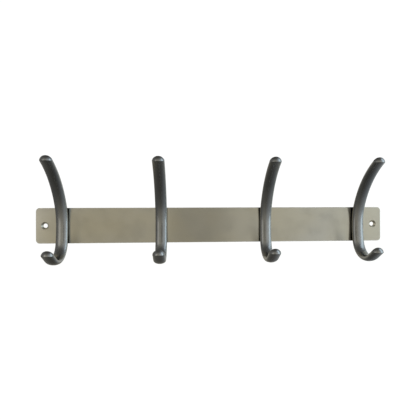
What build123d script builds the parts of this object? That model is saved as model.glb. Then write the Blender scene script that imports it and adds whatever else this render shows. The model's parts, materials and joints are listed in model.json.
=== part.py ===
from build123d import *
import math
import os

# Wall hook rack: a flat bar that carries four identical double hooks.
# Millimetres, +Z up, +X to the right, and the front faces -Y.
# The origin is the middle of the bar's back face, which rests on the wall.

# Back bar
bar_length = 400
bar_height = 40
bar_thickness = 3
bar_corner_radius = 4.2
bar_edge_break = 0.4

# Wall screw holes: one near each end of the bar, countersunk from the front
wall_hole_diameter = 5.0
wall_sink_diameter = 8.2
wall_hole_inset = 10
sink_angle = 90

# Places of the hooks: the outer hooks from the bar's ends, and the gap in the middle
outer_hook_inset = 30
middle_gap = 120

# Hook rod: an oval section, thickest where it meets the bar and a little thinner at its two tips
rod_width = 13.2
rod_thickness = 8.4
upper_tip_width = 12.8
upper_tip_thickness = 6.6
lower_tip_width = 12.8
lower_tip_thickness = 6.6
land_depth = 0.9
taper_power = 1
sections_per_arm = 13

# Each tip is turned to a ball whose radius exceeds half the tip's width by this much
tip_ball_margin = 0.4

# Upper arm: a knee that leaves the bar, then a longer bend that leans forward
knee_radius = 58
knee_turn = 26
arm_radius = 97
arm_turn = 33.5

# Lower arm: a slight lead away from the bar, a tight curl and a short straight tip
lead_radius = 110
lead_turn = 10
curl_radius = 21
curl_turn = 114
lower_tip_straight = 8

# Countersunk screws that hold each hook from behind
thread_diameter = 4
screw_head_diameter = 7.5
screw_length = 7.5
screw_spacing = 13
head_below_surface = 0.2
shank_clearance = 0.4
tapped_spare_depth = 0.8
drive_across_flats = 2.5
drive_depth = 1.3

# The rod's axis stands this far in front of the bar's back face, where the land meets the bar
rod_axis_y = -(bar_thickness + rod_thickness / 2 - land_depth)
side_plane = Plane(origin=(0, rod_axis_y, 0), x_dir=(0, -1, 0), z_dir=(-1, 0, 0))


def hook_places():
    """Places of the four hooks along the bar, left to right."""
    outer = bar_length / 2 - outer_hook_inset
    inner = middle_gap / 2
    return [-outer, -inner, inner, outer]


def screw_heights():
    """Heights of the two screws of a hook, upper first, spread about the middle of its flat land."""
    knee_back = knee_radius + rod_thickness / 2
    lead_back = lead_radius + rod_thickness / 2
    land_top = math.sqrt(knee_back**2 - (knee_back - land_depth) ** 2)
    land_bottom = -math.sqrt(lead_back**2 - (lead_back - land_depth) ** 2)
    middle = (land_top + land_bottom) / 2
    return {"upper": middle + screw_spacing / 2, "lower": middle - screw_spacing / 2}


def cone(small_diameter, large_diameter):
    """A 90 degree screw cone along +Y, its large end on the plane Y = 0."""
    depth = (large_diameter - small_diameter) / 2 / math.tan(math.radians(sink_angle / 2))
    body = Cone(small_diameter / 2, large_diameter / 2, depth, align=(Align.CENTER, Align.CENTER, Align.MAX))
    return Rot(-90, 0, 0) * body


def rod_along_y(diameter, front_y, back_y):
    """A round rod along Y between two places."""
    middle = Pos(0, (front_y + back_y) / 2, 0)
    return middle * Rot(90, 0, 0) * Cylinder(diameter / 2, back_y - front_y)


def make_bar():
    """The flat bar with its countersunk wall holes and the hooks' screw holes from behind."""
    outline = RectangleRounded(bar_length, bar_height, bar_corner_radius)
    bar = extrude(Plane.XZ * outline, bar_thickness)
    front_rim = bar.faces().sort_by(Axis.Y)[0].edges()
    bar = chamfer(front_rim, bar_edge_break)
    wall_sink = Pos(0, -bar_thickness, 0) * Rot(0, 0, 180) * cone(wall_hole_diameter, wall_sink_diameter)
    wall_hole = rod_along_y(wall_hole_diameter, -bar_thickness, 0) + wall_sink
    for side in (-1, 1):
        bar -= Pos(side * (bar_length / 2 - wall_hole_inset), 0, 0) * wall_hole
    hook_hole = rod_along_y(thread_diameter + shank_clearance, -bar_thickness, 0) + screw_seat()
    for x in hook_places():
        for z in screw_heights().values():
            bar -= Pos(x, 0, z) * hook_hole
    return bar


def screw_seat():
    """The seat in the bar's back for a screw head, which sits just below the surface."""
    seat_cone = Pos(0, -head_below_surface, 0) * cone(thread_diameter, screw_head_diameter)
    return seat_cone + rod_along_y(screw_head_diameter, -head_below_surface, 0)


def arm(axis, tip_width, tip_thickness):
    """One arm of a hook: an oval rod that thins along its axis and ends in a turned tip."""
    ovals = []
    for step in range(sections_per_arm):
        share = step / (sections_per_arm - 1)
        width = rod_width + (tip_width - rod_width) * share**taper_power
        thickness = rod_thickness + (tip_thickness - rod_thickness) * share**taper_power
        section = Plane(origin=axis @ share, x_dir=(1, 0, 0), z_dir=axis % share)
        ovals.append(section * Ellipse(width / 2, thickness / 2))
    end = Plane(origin=axis @ 1, x_dir=(1, 0, 0), z_dir=axis % 1)
    return loft(ovals) + end * turned_tip(tip_width, tip_thickness)


def turned_tip(width, thickness):
    """A rod's end along +Z: an oval prism cut to shape by a ball."""
    radius = width / 2 + tip_ball_margin
    return extrude(Ellipse(width / 2, thickness / 2), radius) & Sphere(radius)


def upper_arm():
    """The long arm that rises above the bar and sweeps forward."""
    knee = JernArc((0, 0), (0, 1), knee_radius, -knee_turn)
    sweep_up = JernArc(knee @ 1, knee % 1, arm_radius, -arm_turn)
    return arm(side_plane * Wire([knee, sweep_up]), upper_tip_width, upper_tip_thickness)


def lower_arm():
    """The short arm below, which curls forward and a little way up."""
    lead = JernArc((0, 0), (0, -1), lead_radius, lead_turn)
    curl = JernArc(lead @ 1, lead % 1, curl_radius, curl_turn)
    tip = Line(curl @ 1, (curl @ 1) + (curl % 1) * lower_tip_straight)
    return arm(side_plane * Wire([lead, curl, tip]), lower_tip_width, lower_tip_thickness)


def make_hook():
    """One double hook at X = 0: both arms, the flat land on its back and two tapped holes."""
    hook = upper_arm() + lower_arm()
    hook -= Pos(0, -bar_thickness, 0) * Box(
        2 * rod_width, rod_thickness, bar_height, align=(Align.CENTER, Align.MIN, Align.CENTER)
    )
    tapped_end = -(head_below_surface + screw_length + tapped_spare_depth)
    for z in screw_heights().values():
        hook -= Pos(0, 0, z) * rod_along_y(thread_diameter, tapped_end, -bar_thickness)
    return hook


def make_screw():
    """A countersunk machine screw along -Y, its head just below the bar's back face."""
    head = cone(thread_diameter, screw_head_diameter)
    shank = rod_along_y(thread_diameter, -screw_length, 0)
    drive = Plane.XZ * RegularPolygon(drive_across_flats / 2, 6, major_radius=False)
    return Pos(0, -head_below_surface, 0) * (head + shank - extrude(drive, drive_depth))


def all_nodes():
    """Every piece of the rack by its name, each in its place."""
    nodes = {"back_bar": make_bar()}
    hook = make_hook()
    screw = make_screw()
    for number, x in enumerate(hook_places(), start=1):
        nodes[f"hook_{number}"] = Pos(x, 0, 0) * hook
        for place, z in screw_heights().items():
            nodes[f"screw_{number}_{place}"] = Pos(x, 0, z) * screw
    return nodes


os.makedirs("parts", exist_ok=True)
for name, solid in all_nodes().items():
    export_step(solid, f"parts/{name}.step")
    print(name, "volume", round(solid.volume, 1))
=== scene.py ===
import json
import math

import bmesh
import bpy
from mathutils import Matrix, Quaternion, Vector


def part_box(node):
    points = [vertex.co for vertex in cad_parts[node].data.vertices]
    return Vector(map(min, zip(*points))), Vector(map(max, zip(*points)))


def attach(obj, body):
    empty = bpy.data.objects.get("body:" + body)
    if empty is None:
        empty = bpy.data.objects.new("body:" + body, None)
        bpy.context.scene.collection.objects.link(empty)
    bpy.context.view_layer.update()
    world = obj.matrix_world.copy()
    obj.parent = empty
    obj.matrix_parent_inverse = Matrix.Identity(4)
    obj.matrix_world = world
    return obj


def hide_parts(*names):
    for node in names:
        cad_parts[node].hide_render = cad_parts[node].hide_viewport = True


# Wall hook rack: a flat satin bar, four double hooks bent from tapered rod, and the countersunk
# screws that hold the hooks from behind. Metres, +Z up, +X to the right, and the front faces -Y.

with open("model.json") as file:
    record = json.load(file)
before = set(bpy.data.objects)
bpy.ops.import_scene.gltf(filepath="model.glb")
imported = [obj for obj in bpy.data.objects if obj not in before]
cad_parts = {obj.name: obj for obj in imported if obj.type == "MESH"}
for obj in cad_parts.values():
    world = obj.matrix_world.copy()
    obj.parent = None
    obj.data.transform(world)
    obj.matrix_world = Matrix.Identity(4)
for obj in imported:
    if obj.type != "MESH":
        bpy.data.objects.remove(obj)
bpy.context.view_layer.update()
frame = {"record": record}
record = frame["record"]

MM = 0.001
MERGE_DISTANCE = 0.001 * MM
HOOKS = range(1, 5)
SCREW_PLACES = ("upper", "lower")

# ---------------------------------------------------------------- sizes taken from the frame

bar_low, bar_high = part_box("back_bar")
bar_length = bar_high.x - bar_low.x
bar_height = bar_high.z - bar_low.z
bar_back = bar_high.y
bar_front = bar_low.y
rod_half_width = (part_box("hook_1")[1].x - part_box("hook_1")[0].x) / 2
screw_low, screw_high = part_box("screw_1_upper")
screw_head_radius = (screw_high.z - screw_low.z) / 2
wall_screws = next(m for m in record["mounts"] if m["name"] == "wall_screws")["dims"]

# ---------------------------------------------------------------- sizes of the design

bar_corner = 4.2 * MM
front_edge_round = 0.4 * MM
back_edge_round = 0.15 * MM
wall_sink_radius = 4.1 * MM
hole_edge_break = 0.08 * MM

rod_half_thickness = 4.2 * MM
tip_half_width = 6.4 * MM
tip_half_thickness = 3.3 * MM
tip_ball_radius = 6.8 * MM
tip_edge_round = 0.22 * MM
land_depth = 0.9 * MM
knee = (58 * MM, math.radians(26))
sweep_up = (97 * MM, math.radians(33.5))
lead = (110 * MM, math.radians(10))
curl = (21 * MM, math.radians(114))
lower_tip_straight = 8 * MM

thread_radius = 2.0 * MM
shank_hole_radius = 2.2 * MM
drive_radius = 1.25 * MM / math.cos(math.radians(30))
drive_depth = 1.3 * MM
drive_point = 0.35 * MM
tapped_spare = 0.8 * MM
drill_point = 0.5 * MM
shank_chamfer = 0.4 * MM

rod_axis_y = bar_front - rod_half_thickness + land_depth


def middle_x(node):
    """The place along the bar of a node's middle."""
    low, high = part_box(node)
    return (low.x + high.x) / 2


def middle_z(node):
    """The height of a node's middle."""
    low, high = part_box(node)
    return (low.z + high.z) / 2


# ---------------------------------------------------------------- mesh work

ROUND = 72
STILL = Matrix.Identity(4)
FACING_FRONT = Matrix.Rotation(math.radians(90), 4, "X")
FLAT_ALONG_Y = 0.99999
SHARP_FOLD = math.radians(32)


def once_each(items):
    """The items without repeats, in the order they come."""
    return list(dict.fromkeys(items))


def circle(bm, radius, place, turn=STILL, segments=ROUND):
    """A ring of edges about a place; it lies flat unless it is turned."""
    matrix = Matrix.Translation(place) @ turn
    made = bmesh.ops.create_circle(
        bm, cap_ends=False, segments=segments, radius=radius, matrix=matrix
    )
    return once_each(edge for vert in made["verts"] for edge in vert.link_edges)


def corners(edges):
    """The vertices of some edges."""
    return once_each(vert for edge in edges for vert in edge.verts)


def unit_sheet(bm, matrix):
    """A square face with sides of 1, placed and sized by a matrix; gives back its vertices."""
    return bmesh.ops.create_grid(bm, x_segments=1, y_segments=1, size=0.5, matrix=matrix)["verts"]


def extend(bm, edges, move):
    """Extrudes a ring of edges, moves the new ring by a matrix and gives it back."""
    made = bmesh.ops.extrude_edge_only(bm, edges=edges)["geom"]
    verts = [item for item in made if isinstance(item, bmesh.types.BMVert)]
    bmesh.ops.transform(bm, matrix=move, verts=verts)
    new_ring = set(verts)
    new_edges = (item for item in made if isinstance(item, bmesh.types.BMEdge))
    return [edge for edge in new_edges if new_ring.issuperset(edge.verts)]


def close_ring(bm, edges, place):
    """Closes a ring with a fan of faces that meet at a place."""
    cap = bmesh.ops.edgeloop_fill(bm, edges=edges)["faces"]
    centre = bmesh.ops.poke(bm, faces=cap)["verts"][0]
    centre.co = place


def bore(bm, rings):
    """Walls between the rings of a round hole or post along Y.

    Each ring is given as a radius, a place in X and Z, and a depth in Y.
    """
    loops = [circle(bm, radius, Vector((x, y, z)), FACING_FRONT) for radius, x, z, y in rings]
    for one, other in zip(loops, loops[1:]):
        bmesh.ops.bridge_loops(bm, edges=one + other)
    return loops


def faces_along_y(face):
    """Whether a face lies flat against the wall's direction, as the bar's front and back do."""
    return abs(face.normal.y) > FLAT_ALONG_Y


def is_sharp(edge):
    """Whether shading breaks at an edge: it folds a lot, or it bounds a flat face."""
    one, other = edge.link_faces
    return edge.calc_face_angle(0) > SHARP_FOLD or faces_along_y(one) != faces_along_y(other)


def new_object(bm, name, material):
    """Puts a bmesh into the scene as an object with one material."""
    mesh = bpy.data.meshes.new(name)
    bm.to_mesh(mesh)
    bm.free()
    mesh.materials.append(material)
    item = bpy.data.objects.new(name, mesh)
    bpy.context.collection.objects.link(item)
    return item


def finish_piece(bm, name, node, material):
    """Turns a bmesh into a smooth-shaded piece that stands for a CAD node."""
    bmesh.ops.remove_doubles(bm, verts=bm.verts, dist=MERGE_DISTANCE)
    bmesh.ops.dissolve_degenerate(bm, edges=bm.edges, dist=MERGE_DISTANCE)
    bmesh.ops.recalc_face_normals(bm, faces=bm.faces)
    bm.normal_update()
    for face in bm.faces:
        face.smooth = True
    for edge in bm.edges:
        edge.smooth = not is_sharp(edge)
    piece = new_object(bm, name, material)
    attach(piece, "root")
    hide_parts(node)


# ---------------------------------------------------------------- hook

RING_TURN = math.radians(2.6)
RING_STEP = 1.6 * MM
SIDE_SHARES = (0.3, 0.6, 0.85, 0.96, 1.0)
CAP_RINGS = 9
TIP_EDGE_STEPS = 3


def stretch_steps(bend_radius, amount):
    """How many rings a stretch takes: an arc if it has a bend radius, otherwise a straight run."""
    return math.ceil(amount / RING_TURN) if bend_radius else math.ceil(amount / RING_STEP)


def squash(place, facing, across, through):
    """A matrix that scales a section about a place: across its width and through its thickness."""
    scale = facing @ Matrix.Diagonal((across, through, 1, 1)) @ facing.inverted()
    return Matrix.Translation(place) @ scale @ Matrix.Translation(-place)


def grow_arm(bm, ring, start, way, stretches):
    """Grows a thinning oval arm ring by ring, and ends it in a turned tip.

    way is 1 upwards and -1 downwards, and every bend leans the arm to the front.
    """
    total = sum(amount * (bend_radius or 1) for bend_radius, amount in stretches)
    centre, facing = start.copy(), STILL
    travel, width, thickness = 0.0, rod_half_width, rod_half_thickness
    for bend_radius, amount in stretches:
        steps = stretch_steps(bend_radius, amount)
        heading = facing @ Vector((0, 0, way))
        pivot = centre + Matrix.Rotation(way * math.radians(90), 3, "X") @ heading * bend_radius
        turn = Matrix.Rotation(way * amount / steps, 4, "X")
        for _ in range(steps):
            if bend_radius:
                move = Matrix.Translation(pivot) @ turn @ Matrix.Translation(-pivot)
                facing = turn @ facing
                travel += bend_radius * amount / steps
            else:
                move = Matrix.Translation(heading * amount / steps)
                travel += amount / steps
            centre = move @ centre
            share = travel / total
            wide = rod_half_width + (tip_half_width - rod_half_width) * share
            thick = rod_half_thickness + (tip_half_thickness - rod_half_thickness) * share
            thinned = squash(centre, facing, wide / width, thick / thickness)
            ring = extend(bm, ring, thinned @ move)
            width, thickness = wide, thick
    turned_tip(bm, ring, centre, facing @ Vector((0, 0, way)))


def turned_tip(bm, ring, centre, heading):
    """Ends an arm where a ball about its last section cuts it, and softens the edge between."""
    for share in SIDE_SHARES:
        ring = extend(bm, ring, STILL)
        for vert in corners(ring):
            flat = vert.co - centre
            flat -= heading * flat.dot(heading)
            reach = math.sqrt(tip_ball_radius ** 2 - flat.length_squared)
            vert.co = centre + flat + heading * reach * share
    edge = ring
    for left in range(CAP_RINGS, 1, -1):
        ring = extend(bm, ring, STILL)
        for vert in corners(ring):
            spoke = vert.co - centre
            spoke.rotate(Quaternion(spoke.cross(heading), spoke.angle(heading) / left))
            vert.co = centre + spoke
    close_ring(bm, ring, centre + heading * tip_ball_radius)
    bmesh.ops.bevel(
        bm, geom=edge, offset=tip_edge_round, segments=TIP_EDGE_STEPS, profile=0.5,
        affect="EDGES", material=-1,
    )


def tapped_hole(bm, x, z):
    """The wall and drill point of a tapped hole in a hook's land; gives back its mouth's ring."""
    end = screw_low.y - tapped_spare
    loops = bore(bm, [(thread_radius, x, z, bar_front), (thread_radius, x, z, end)])
    close_ring(bm, loops[-1], Vector((x, end - drill_point, z)))
    return loops[0]


def make_hook(number, material):
    """A double hook with a flat land on its back and two tapped holes in the land."""
    node = f"hook_{number}"
    x = middle_x(node)
    start = Vector((x, rod_axis_y, 0))
    bm = bmesh.new()
    ring = circle(bm, 1, start, Matrix.Diagonal((rod_half_width, rod_half_thickness, 1, 1)))
    grow_arm(bm, ring, start, 1, [knee, sweep_up])
    grow_arm(bm, ring, start, -1, [lead, curl, (0, lower_tip_straight)])
    everything = bm.verts[:] + bm.edges[:] + bm.faces[:]
    land = Vector((0, bar_front, 0))
    cut = bmesh.ops.bisect_plane(
        bm, geom=everything, dist=MERGE_DISTANCE, plane_co=land, plane_no=(0, 1, 0),
        clear_outer=True,
    )
    outline = [item for item in cut["geom_cut"] if isinstance(item, bmesh.types.BMEdge)]
    for place in SCREW_PLACES:
        outline += tapped_hole(bm, x, middle_z(f"screw_{number}_{place}"))
    bmesh.ops.triangle_fill(bm, use_beauty=True, edges=outline, normal=(0, 1, 0))
    finish_piece(bm, f"hook_{number}_rod", node, material)


# ---------------------------------------------------------------- bar

CORNER_STEPS = 10
RIM_STEPS = 4


def bar_outline(bm, inset, y):
    """The bar's rounded outline as a loop of edges, drawn in by an inset, at a depth."""
    size = Matrix.Diagonal((bar_length - 2 * inset, bar_height - 2 * inset, 1, 1))
    made = unit_sheet(bm, Matrix.Translation((0, y, 0)) @ FACING_FRONT @ size)
    rounded = bmesh.ops.bevel(
        bm, geom=made, offset=bar_corner - inset, segments=CORNER_STEPS, profile=0.5,
        affect="VERTICES", material=-1,
    )
    sheet = rounded["verts"][0].link_faces[0]
    loop = list(sheet.edges)
    bmesh.ops.delete(bm, geom=[sheet], context="FACES_ONLY")
    return loop


def wall_hole(bm, x):
    """A countersunk hole for a wall screw; gives back its front and back rings."""
    radius = wall_screws["hole_r_mm"] * MM
    sink_end = bar_front + wall_sink_radius - radius
    loops = bore(bm, [
        (wall_sink_radius + hole_edge_break, x, 0, bar_front),
        (wall_sink_radius - hole_edge_break, x, 0, bar_front + 2 * hole_edge_break),
        (radius, x, 0, sink_end),
        (radius, x, 0, bar_back - hole_edge_break),
        (radius + hole_edge_break, x, 0, bar_back),
    ])
    return loops[0], loops[-1]


def hook_hole(bm, x, z):
    """A hole for a hook's screw, countersunk from behind; gives back its front and back rings."""
    seat = screw_high.y
    seat_start = seat - (screw_head_radius - shank_hole_radius)
    loops = bore(bm, [
        (shank_hole_radius, x, z, bar_front),
        (shank_hole_radius, x, z, seat_start),
        (screw_head_radius, x, z, seat),
        (screw_head_radius, x, z, bar_back - hole_edge_break),
        (screw_head_radius + hole_edge_break, x, z, bar_back),
    ])
    return loops[0], loops[-1]


def rim_profile():
    """The bar's rim from front to back, as insets and depths: both its edges are rounded."""
    rounded = []
    for step in range(RIM_STEPS + 1):
        angle = math.radians(90) * step / RIM_STEPS
        inset = front_edge_round * (1 - math.sin(angle))
        rounded.append((inset, bar_front + front_edge_round * (1 - math.cos(angle))))
    return rounded + [(0, bar_back - back_edge_round), (back_edge_round, bar_back)]


def make_bar(material):
    """The bar: front and back faces with their holes, and the rim between them."""
    bm = bmesh.new()
    rim = [bar_outline(bm, inset, y) for inset, y in rim_profile()]
    for one, other in zip(rim, rim[1:]):
        bmesh.ops.bridge_loops(bm, edges=one + other)
    half_spacing = wall_screws["spacing_x_mm"] * MM / 2
    holes = [wall_hole(bm, side * half_spacing) for side in (-1, 1)]
    for number in HOOKS:
        for place in SCREW_PLACES:
            node = f"screw_{number}_{place}"
            holes.append(hook_hole(bm, middle_x(node), middle_z(node)))
    front = rim[0] + [edge for hole in holes for edge in hole[0]]
    back = rim[-1] + [edge for hole in holes for edge in hole[1]]
    bmesh.ops.triangle_fill(bm, use_beauty=True, edges=front, normal=(0, -1, 0))
    bmesh.ops.triangle_fill(bm, use_beauty=True, edges=back, normal=(0, 1, 0))
    finish_piece(bm, "bar_plate", "back_bar", material)


# ---------------------------------------------------------------- screws

SOCKET_SIDES = 6


def make_screw(number, place, material):
    """A countersunk machine screw with a hexagon socket, its head towards the wall."""
    node = f"screw_{number}_{place}"
    x, z = middle_x(node), middle_z(node)
    head, end = screw_high.y, screw_low.y
    bm = bmesh.new()
    loops = bore(bm, [
        (screw_head_radius - hole_edge_break, x, z, head),
        (screw_head_radius, x, z, head - hole_edge_break),
        (thread_radius, x, z, head - (screw_head_radius - thread_radius)),
        (thread_radius, x, z, end + shank_chamfer),
        (thread_radius - shank_chamfer, x, z, end),
    ])
    close_ring(bm, loops[-1], Vector((x, end, z)))
    socket = circle(bm, drive_radius, Vector((x, head, z)), FACING_FRONT, SOCKET_SIDES)
    bmesh.ops.triangle_fill(bm, use_beauty=True, edges=loops[0] + socket, normal=(0, 1, 0))
    bottom = extend(bm, socket, Matrix.Translation((0, -drive_depth, 0)))
    close_ring(bm, bottom, Vector((x, head - drive_depth - drive_point, z)))
    finish_piece(bm, f"{node}_body", node, material)


# ---------------------------------------------------------------- shader maths

QUARTER_TURN = 0.25

# Places of a Mix node's sockets when it mixes colours
MIX_FACTOR, MIX_ONE, MIX_OTHER, MIX_RESULT = 0, 6, 7, 2


class Wire:
    """An output socket. Python's operators on it add the Math nodes that work a value out."""

    def __init__(self, paint, socket):
        self.paint, self.socket = paint, socket

    def __add__(self, other):
        return self.paint.math("ADD", self, other)

    def __sub__(self, other):
        return self.paint.math("SUBTRACT", self, other)

    def __rsub__(self, other):
        return self.paint.math("SUBTRACT", other, self)

    def __mul__(self, other):
        return self.paint.math("MULTIPLY", self, other)

    def __abs__(self):
        return self.paint.math("ABSOLUTE", self)

    __radd__ = __add__
    __rmul__ = __mul__


class Paint:
    """The node tree of a material or a world."""

    def __init__(self, owner):
        self.owner = owner
        owner.use_nodes = True
        self.tree = owner.node_tree
        self.tree.nodes.clear()

    def node(self, kind, settings=None, sockets=None, out=0):
        """Adds a node with its settings, and a value or a link for each socket named.

        It gives back one output, or the node itself where the node has no output.
        """
        node = self.tree.nodes.new(kind)
        for key, value in (settings or {}).items():
            setattr(node, key, value)
        for key, value in (sockets or {}).items():
            if isinstance(value, Wire):
                self.tree.links.new(value.socket, node.inputs[key])
            else:
                node.inputs[key].default_value = value
        return Wire(self, node.outputs[out]) if len(node.outputs) else node

    def math(self, operation, *values):
        """A Math node."""
        return self.node("ShaderNodeMath", {"operation": operation}, dict(enumerate(values)))

    def place(self, scale=(1, 1, 1), shift=(0, 0, 0)):
        """Object coordinates, stretched and shifted."""
        coordinates = self.node("ShaderNodeTexCoord", out="Object")
        sockets = {"Vector": coordinates, "Scale": scale, "Location": shift}
        return self.node("ShaderNodeMapping", None, sockets)

    def axes(self, vector, names):
        """Parts of a vector by their names, such as XZ."""
        sockets = {"Vector": vector}
        return [self.node("ShaderNodeSeparateXYZ", None, sockets, out=name) for name in names]

    def noise(self, vector, scale=1.0, detail=2.0, roughness=0.5):
        """Noise from 0 to 1."""
        sockets = {"Vector": vector, "Scale": scale, "Detail": detail, "Roughness": roughness}
        return self.node("ShaderNodeTexNoise", None, sockets)

    def step(self, value, low, high):
        """0 below low, 1 above high and a smooth rise between them."""
        sockets = {"Value": value, "From Min": low, "From Max": high}
        return self.node("ShaderNodeMapRange", {"interpolation_type": "SMOOTHSTEP"}, sockets)

    def mix(self, factor, one, other, blend="MIX"):
        """A colour between two colours, or another blend of them."""
        settings = {"data_type": "RGBA", "blend_type": blend}
        sockets = {MIX_FACTOR: factor, MIX_ONE: one, MIX_OTHER: other}
        return self.node("ShaderNodeMix", settings, sockets, out=MIX_RESULT)

    def bump(self, height, strength, distance):
        """A normal from a height."""
        sockets = {"Height": height, "Strength": strength, "Distance": distance}
        return self.node("ShaderNodeBump", None, sockets)

    def surface(self, kind, sockets):
        """Finishes a material with one shader and gives the material back."""
        shader = self.node(kind, None, sockets)
        self.node("ShaderNodeOutputMaterial", None, {"Surface": shader})
        return self.owner

    def metal(self, colour, roughness, normal, brushed=0.0):
        """Finishes a material as bare metal; brushed metal spreads reflections up and down."""
        return self.surface("ShaderNodeBsdfPrincipled", {
            "Base Color": colour, "Roughness": roughness, "Metallic": 1.0, "Normal": normal,
            "Anisotropic": brushed, "Anisotropic Rotation": QUARTER_TURN,
        })


def new_paint(name):
    """The empty node tree of a new material."""
    return Paint(bpy.data.materials.new(name))


# ---------------------------------------------------------------- finishes

STEEL_WARM = (0.700, 0.655, 0.525, 1)
STEEL_COOL = (0.675, 0.652, 0.578, 1)
STEEL_GRAIN = (0.64, 0.62, 0.57, 1)
STEEL_RUBBED = (0.90, 0.88, 0.83, 1)
NICKEL_DARK = (0.290, 0.295, 0.298, 1)
NICKEL_LIGHT = (0.350, 0.350, 0.345, 1)
NICKEL_SCRATCHED = (0.6, 0.6, 0.58, 1)
ZINC_GREY = (0.60, 0.61, 0.60, 1)
ZINC_YELLOW = (0.70, 0.69, 0.62, 1)
# Near black colour of the painted shade beside the rods and on their flanks
PAINTED_SHADE = (0.030, 0.030, 0.028, 1)

# The rub along the bar's edges, and the painted shade on the bar beside each rod and on the rods'
# flanks, which stands in for the rods' dark reflection and contact shadow there
RUB_START, RUB_END = 0.1 * MM, 1.3 * MM
BAND_INSIDE, BAND_OUTSIDE = 0.3 * MM, 0.6 * MM
FLANK_START, FLANK_END = 2.4 * MM, 0.4 * MM


def nearest_edge(paint):
    """Distance from the bar's outline, worked out from the bar's own size."""
    x, z = paint.axes(paint.place(), "XZ")
    return paint.math("MINIMUM", bar_length / 2 - abs(x), bar_height / 2 - abs(z))


def shade_beside_hooks(paint):
    """1 on the bar's front under the overhang of each hook's rod, where shade is painted."""
    x, y = paint.axes(paint.place(), "XY")
    nearest = abs(x - middle_x("hook_1"))
    for number in HOOKS[1:]:
        nearest = paint.math("MINIMUM", nearest, abs(x - middle_x(f"hook_{number}")))
    outside = paint.step(nearest, rod_half_width - BAND_INSIDE, rod_half_width + BAND_OUTSIDE)
    on_front = paint.step(y * -1, -bar_front / 2, -bar_front * 0.95)
    return (1 - outside) * on_front


def satin_bar():
    """Warm grey satin steel, brushed along the bar.

    It has rubbed edges, handling marks and painted shade beside the hooks.
    """
    paint = new_paint("satin_bar_steel")
    hairline = paint.noise(paint.place(scale=(45, 9000, 9000)), detail=3)
    grain = paint.noise(paint.place(scale=(14, 1900, 1900), shift=(3, 0, 0)), detail=4)
    cloud = paint.noise(paint.place(shift=(0.4, 0, 0.2)), scale=11, detail=3)
    smudge = paint.noise(paint.place(shift=(1.7, 0, 0.6)), scale=55, detail=4, roughness=0.6)
    edge = 1 - paint.step(nearest_edge(paint), RUB_START, RUB_END)
    rub = edge * paint.step(smudge, 0.35, 0.62)
    colour = paint.mix(paint.step(cloud, 0.38, 0.62), STEEL_WARM, STEEL_COOL)
    colour = paint.mix(grain * 0.4, colour, STEEL_GRAIN)
    colour = paint.mix(rub * 0.7, colour, STEEL_RUBBED)
    # Painted shade: darkens the bar beside each rod, standing in for the rod's dark reflection and
    # contact shadow
    colour = paint.mix(shade_beside_hooks(paint) * 0.93, colour, PAINTED_SHADE)
    roughness = 0.25 + 0.08 * hairline + 0.06 * paint.step(smudge, 0.4, 0.75) - 0.06 * rub
    relief = paint.bump(hairline * 0.6 + grain * 0.4, 0.25, 0.012 * MM)
    return paint.metal(colour, roughness, relief, brushed=1.0)


def dark_nickel():
    """Dark satin nickel: orange peel, faint scratches, patchy tarnish and painted shade on the
    flanks beside the bar.
    """
    paint = new_paint("dark_satin_nickel")
    peel = paint.noise(paint.place(), scale=620, detail=3)
    grit = paint.noise(paint.place(shift=(0, 2, 0)), scale=4200, detail=2)
    tarnish = paint.noise(paint.place(shift=(5, 0, 3)), scale=38, detail=5, roughness=0.6)
    scratches = paint.noise(paint.place(scale=(2600, 2600, 150), shift=(0, 0, 1)), detail=2)
    scratch = paint.step(scratches, 0.66, 0.74)
    colour = paint.mix(paint.step(tarnish, 0.3, 0.7), NICKEL_DARK, NICKEL_LIGHT)
    colour = paint.mix(scratch * 0.35, colour, NICKEL_SCRATCHED)
    y = paint.axes(paint.place(), "Y")[0]
    # Painted shade: darkens the rods' flanks next to the bar, where they would mirror the bright
    # bar
    flank_shade = paint.step(y, bar_front - FLANK_START, bar_front - FLANK_END)
    colour = paint.mix(flank_shade * 0.85, colour, PAINTED_SHADE)
    roughness = 0.20 + 0.06 * tarnish + 0.04 * grit + 0.04 * scratch
    relief = paint.bump(peel * 0.8 + grit * 0.2 - scratch * 0.3, 0.2, 0.02 * MM)
    return paint.metal(colour, roughness, relief)


def zinc():
    """Zinc plate on the screws, a little mottled."""
    paint = new_paint("zinc_plate")
    mottle = paint.noise(paint.place(), scale=900, detail=4)
    colour = paint.mix(mottle, ZINC_GREY, ZINC_YELLOW)
    return paint.metal(colour, 0.28 + 0.15 * mottle, paint.bump(mottle, 0.3, 0.02 * MM))


# ---------------------------------------------------------------- the object

steel, nickel, plating = satin_bar(), dark_nickel(), zinc()
make_bar(steel)
for number in HOOKS:
    make_hook(number, nickel)
    for place in SCREW_PLACES:
        make_screw(number, place, plating)

# ---------------------------------------------------------------- stage, light and camera

FLOOR_DROP = 0.35
FLOOR_WIDTH = 24.0
CARD_PLACE = (0.0, -0.48, 0.02)
CARD_WIDTH, CARD_HEIGHT = 0.14, 0.16
SURROUND_STRENGTH = 1.05


def stage_sheet(name, matrix, material):
    """A flat sheet that belongs to the stage, placed and sized by a matrix."""
    bm = bmesh.new()
    unit_sheet(bm, matrix)
    sheet = new_object(bm, name, material)
    return sheet


def make_floor():
    """A plain pale floor below the rack. Shiny metal doesn't mirror it."""
    material = new_paint("pale_floor").surface("ShaderNodeBsdfPrincipled", {
        "Base Color": (0.85, 0.85, 0.85, 1), "Roughness": 0.9,
        "Emission Color": (1, 1, 1, 1), "Emission Strength": 0.75,
    })
    size = Matrix.Diagonal((FLOOR_WIDTH, FLOOR_WIDTH, 1, 1))
    floor = stage_sheet("floor", Matrix.Translation((0, 0, -FLOOR_DROP)) @ size, material)
    floor.visible_glossy = False


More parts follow.
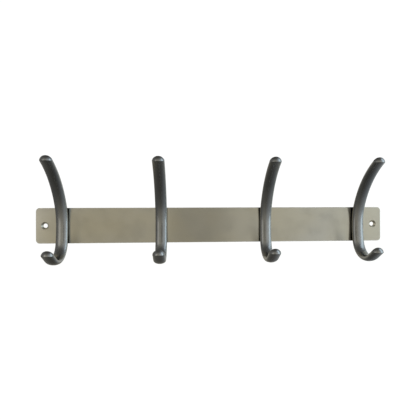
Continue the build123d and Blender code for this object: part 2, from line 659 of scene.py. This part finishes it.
def make_card():
    """A dim warm card close behind the camera. It shows only in reflections."""
    material = new_paint("warm_card").surface("ShaderNodeEmission", {
        "Color": (1.0, 0.95, 0.80, 1), "Strength": 0.25,
    })
    size = Matrix.Diagonal((CARD_WIDTH, CARD_HEIGHT, 1, 1))
    card = stage_sheet("card", Matrix.Translation(CARD_PLACE) @ FACING_FRONT @ size, material)
    card.visible_camera = False
    card.visible_shadow = False
    card.visible_diffuse = False


# Brightness of the room by the direction seen: from straight down to straight up, and from
# left to right
ROOM_BY_HEIGHT = [
    (-1.00, (0.085, 0.086, 0.086)),
    (-0.91, (0.120, 0.121, 0.119)),
    (-0.72, (0.210, 0.211, 0.206)),
    (-0.50, (0.360, 0.357, 0.340)),
    (-0.14, (0.560, 0.548, 0.505)),
    (0.14, (0.660, 0.650, 0.605)),
    (0.38, (0.560, 0.555, 0.530)),
    (0.62, (0.400, 0.400, 0.390)),
    (0.82, (0.200, 0.202, 0.202)),
    (1.00, (0.130, 0.132, 0.132)),
]
ROOM_BY_SIDE = [
    (-1.00, (0.42, 0.42, 0.42)),
    (-0.80, (0.55, 0.55, 0.55)),
    (-0.45, (0.90, 0.875, 0.80)),
    (-0.15, (0.93, 0.90, 0.81)),
    (0.12, (0.95, 0.93, 0.85)),
    (0.35, (1.16, 1.20, 1.24)),
    (0.60, (1.30, 1.38, 1.46)),
    (1.00, (1.10, 1.24, 1.38)),
]


def colour_ramp(paint, value, stops):
    """A colour that runs through stops, each a position from -1 to 1 and a colour."""
    share = paint.node("ShaderNodeMapRange", None, {"Value": value, "From Min": -1})
    ramp = paint.node("ShaderNodeValToRGB", None, {0: share})
    elements = ramp.socket.node.color_ramp.elements
    while len(elements) < len(stops):
        elements.new(1.0)
    for element, (position, colour) in zip(elements, stops):
        element.position = (position + 1) / 2
        element.color = (*colour, 1)
    return ramp


def make_world():
    """A white surround for the camera, and a room for reflections.

    The room is dark below and overhead, and lighter on the right.
    """
    paint = Paint(bpy.data.worlds.new("room"))
    x, z = paint.axes(paint.node("ShaderNodeTexCoord", out="Generated"), "XZ")
    by_height = colour_ramp(paint, z, ROOM_BY_HEIGHT)
    by_side = colour_ramp(paint, x, ROOM_BY_SIDE)
    room = paint.node("ShaderNodeBackground", None, {
        "Color": paint.mix(1, by_height, by_side, blend="MULTIPLY"),
    })
    white = paint.node("ShaderNodeBackground", None, {
        "Color": (1, 1, 1, 1), "Strength": SURROUND_STRENGTH,
    })
    seen = paint.node("ShaderNodeLightPath", out="Is Camera Ray")
    either = paint.node("ShaderNodeMixShader", None, {0: seen, 1: room, 2: white})
    paint.node("ShaderNodeOutputWorld", None, {"Surface": either})
    bpy.context.scene.world = paint.owner


def soft_box(name, place, target, size, radiance, colour):
    """A soft rectangular light of a given radiance at a place, aimed at a target."""
    light = bpy.data.lights.new(name, "AREA")
    light.shape = "RECTANGLE"
    light.size, light.size_y = size
    light.energy = radiance * math.pi * size[0] * size[1]
    light.color = colour
    lamp = bpy.data.objects.new(name, light)
    lamp.location = place
    lamp.rotation_euler = (Vector(target) - Vector(place)).to_track_quat("-Z", "Y").to_euler()
    lamp.visible_camera = False
    bpy.context.collection.objects.link(lamp)


def make_lights():
    """A tall cool window on the right, and a fainter warm lamp on the left."""
    soft_box(
        "window", place=(0.72, -0.26, 0.24), target=(0.05, 0, 0.02), size=(0.40, 0.95),
        radiance=1.20, colour=(0.70, 0.87, 1.0),
    )
    soft_box(
        "lamp_left", place=(-0.62, -0.62, 0.10), target=(0, 0, 0.02), size=(0.34, 0.60),
        radiance=0.50, colour=(1.0, 0.97, 0.90),
    )


def make_camera():
    """A close, ordinary lens a little left of the middle and a little above the bar."""
    data = bpy.data.cameras.new("camera")
    data.lens = 29.64
    data.clip_start = 0.01
    data.shift_x = 0.0099
    data.shift_y = -0.0117
    camera = bpy.data.objects.new("camera", data)
    camera.location = (-0.0346, -0.402, 0.0228)
    camera.rotation_euler = (math.radians(90), math.radians(0.15), math.radians(-3.68))
    bpy.context.collection.objects.link(camera)
    bpy.context.scene.camera = camera


make_floor()
make_world()
make_card()
make_lights()
make_camera()
bpy.context.scene.view_settings.view_transform = "Standard"
